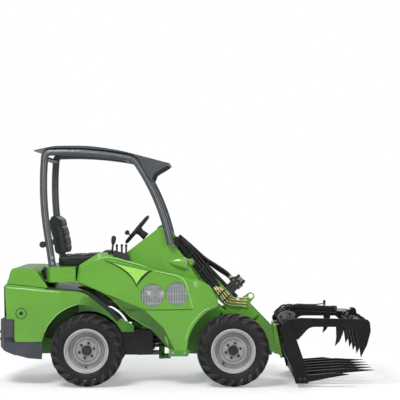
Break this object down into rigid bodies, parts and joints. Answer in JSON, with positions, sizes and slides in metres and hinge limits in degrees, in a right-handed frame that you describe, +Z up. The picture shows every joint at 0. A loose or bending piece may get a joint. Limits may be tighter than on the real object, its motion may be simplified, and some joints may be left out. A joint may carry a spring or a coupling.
{
  "type": "articulated mini loader",
  "caption": "Compact articulated loader with a telescopic lifting boom, canopy, open operator's seat and a fork grapple, stored with the boom lowered.",
  "frame": {"origin": "on the ground under the middle of the machine's bounding box, boom lowered", "axes": "+X forward towards the fork, +Y to the operator's left, +Z up"},
  "size_m": [3.095, 1.076, 1.9333],
  "materials": {
    "green_paint": "gloss",
    "green_paint_dark": "satin",
    "grey_paint": "satin",
    "weight_paint": "satin",
    "tool_paint": "gloss",
    "tyre": "matte",
    "rim_silver": "satin",
    "black_plastic": "matte",
    "seat_vinyl": "satin",
    "rod_chrome": "polished",
    "pipe_zinc": "satin",
    "hose_rubber": "satin",
    "vent_aluminium": "satin",
    "lamp_glass": "clear",
    "black_iron": "matte"
  },
  "bodies": {
    "chassis": {"front_frame": "green_paint_dark", "front_cowl": "green_paint", "side_cover_left": "green_paint", "side_cover_right": "green_paint", "round_vents": "vent_aluminium", "floor_pan": "black_plastic", "seat_platform": "green_paint", "seat_cushion": "seat_vinyl", "seat_backrest": "seat_vinyl", "canopy_frame": "grey_paint", "canopy_roof": "grey_paint", "steering_column": "black_plastic", "control_console": "black_plastic", "front_lamps": "lamp_glass"},
    "steering_wheel": {"steering_wheel": "black_plastic"},
    "rear_chassis": {"rear_frame": "green_paint_dark", "engine_block": "black_iron", "rear_body": "green_paint", "counterweight": "weight_paint", "side_boxes": "black_plastic", "tow_hitch": "weight_paint"},
    "hood": {"engine_hood": "green_paint"},
    "boom": {"boom_outer": "green_paint", "boom_pipes": "pipe_zinc", "valve_block": "black_iron", "hose_loop": "hose_rubber"},
    "boom_extension": {"boom_inner": "green_paint"},
    "lift_barrel": {"lift_cylinder_barrel": "green_paint"},
    "lift_rod": {"lift_cylinder_rod": "rod_chrome"},
    "tilt_barrel": {"tilt_cylinder_barrel": "green_paint"},
    "tilt_rod": {"tilt_cylinder_rod": "rod_chrome"},
    "tilt_crank": {"tilt_crank": "green_paint_dark"},
    "tool": {"coupler": "green_paint", "fork_frame": "tool_paint"},
    "jaw": {"grapple_jaw": "tool_paint"},
    "clamp_barrel": {"clamp_cylinder_barrel": "tool_paint"},
    "clamp_rod": {"clamp_cylinder_rod": "rod_chrome"},
    "wheel_front_left": {"tyre_front_left": "tyre", "rim_front_left": "rim_silver"},
    "wheel_front_right": {"tyre_front_right": "tyre", "rim_front_right": "rim_silver"},
    "wheel_rear_left": {"tyre_rear_left": "tyre", "rim_rear_left": "rim_silver"},
    "wheel_rear_right": {"tyre_rear_right": "tyre", "rim_rear_right": "rim_silver"}
  },
  "joints": [
    {"name": "articulation", "type": "hinge", "parent": "chassis", "child": "rear_chassis", "pos_m": [-0.1875, 0, 0.3], "axis": [0, 0, 1], "range_deg": [-40, 40]},
    {"name": "steering_wheel", "type": "hinge", "parent": "chassis", "child": "steering_wheel", "pos_m": [-0.3935, 0, 1.252], "axis": [-0.766, 0, 0.6428], "continuous": true},
    {"name": "hood", "type": "hinge", "parent": "rear_chassis", "child": "hood", "pos_m": [-1.4285, 0, 0.833], "axis": [0, -1, 0], "range_deg": [0, 55]},
    {"name": "boom_lift", "type": "hinge", "parent": "chassis", "child": "boom", "pos_m": [-0.1775, 0, 1.239], "axis": [0, -1, 0], "range_deg": [0, 102.5]},
    {"name": "telescope", "type": "slide", "parent": "boom", "child": "boom_extension", "axis": [0.6909, 0, -0.723], "range_m": [0, 0.6], "deforming": ["hose_loop"]},
    {"name": "self_levelling", "type": "hinge", "parent": "boom_extension", "child": "tilt_crank", "pos_m": [0.71236, 0, 0.30782], "axis": [0, 1, 0], "range_deg": [0, 102.5]},
    {"name": "tool_tilt", "type": "hinge", "parent": "tilt_crank", "child": "tool", "pos_m": [0.71236, 0, 0.30782], "axis": [0, 1, 0], "range_deg": [-20, 40]},
    {"name": "grapple_jaw", "type": "hinge", "parent": "tool", "child": "jaw", "pos_m": [0.8425, 0, 0.495], "axis": [0, -1, 0], "range_deg": [-10, 45]},
    {"name": "lift_barrel_pin", "type": "hinge", "parent": "boom", "child": "lift_barrel", "pos_m": [0.35755, 0, 0.53725], "axis": [0, -1, 0], "range_deg": [-2.4, 0.01]},
    {"name": "lift_rod_slide", "type": "slide", "parent": "lift_barrel", "child": "lift_rod", "axis": [-0.7816, 0, 0.6238], "range_m": [-0.0001, 0.4782]},
    {"name": "tilt_barrel_pin", "type": "hinge", "parent": "boom_extension", "child": "tilt_barrel", "pos_m": [0.42325, 0, 0.59588], "axis": [0, -1, 0], "range_deg": [-2.3, 0.01]},
    {"name": "tilt_rod_slide", "type": "slide", "parent": "tilt_barrel", "child": "tilt_rod", "axis": [0.6185, 0, -0.7858], "range_m": [-0.139, 0.0001]},
    {"name": "clamp_barrel_pin", "type": "hinge", "parent": "tool", "child": "clamp_barrel", "pos_m": [0.8905, 0, 0.601], "axis": [0, -1, 0], "range_deg": [-11.52, 51.8]},
    {"name": "clamp_rod_slide", "type": "slide", "parent": "clamp_barrel", "child": "clamp_rod", "axis": [0.9988, 0, -0.0497], "range_m": [-0.065, 0.0145]},
    {"name": "wheel_front_left", "type": "hinge", "parent": "chassis", "child": "wheel_front_left", "pos_m": [0.3985, 0.43, 0.2925], "axis": [0, 1, 0], "continuous": true},
    {"name": "wheel_front_right", "type": "hinge", "parent": "chassis", "child": "wheel_front_right", "pos_m": [0.3985, -0.43, 0.2925], "axis": [0, 1, 0], "continuous": true},
    {"name": "wheel_rear_left", "type": "hinge", "parent": "rear_chassis", "child": "wheel_rear_left", "pos_m": [-0.7735, 0.43, 0.2925], "axis": [0, 1, 0], "continuous": true},
    {"name": "wheel_rear_right", "type": "hinge", "parent": "rear_chassis", "child": "wheel_rear_right", "pos_m": [-0.7735, -0.43, 0.2925], "axis": [0, 1, 0], "continuous": true}
  ],
  "couplings": [
    {"joint": "self_levelling", "follows": "boom_lift", "ratio": 1},
    {"joint": "lift_barrel_pin", "follows": "boom_lift", "ratio": -0.02327},
    {"joint": "lift_rod_slide", "follows": "boom_lift", "m_per_rad": 0.26726},
    {"joint": "tilt_barrel_pin", "follows": "boom_lift", "ratio": -0.0223},
    {"joint": "tilt_rod_slide", "follows": "boom_lift", "m_per_rad": -0.077636},
    {"joint": "clamp_barrel_pin", "follows": "grapple_jaw", "ratio": 1.1508},
    {"joint": "clamp_rod_slide", "follows": "grapple_jaw", "m_per_rad": -0.082687}
  ]
}
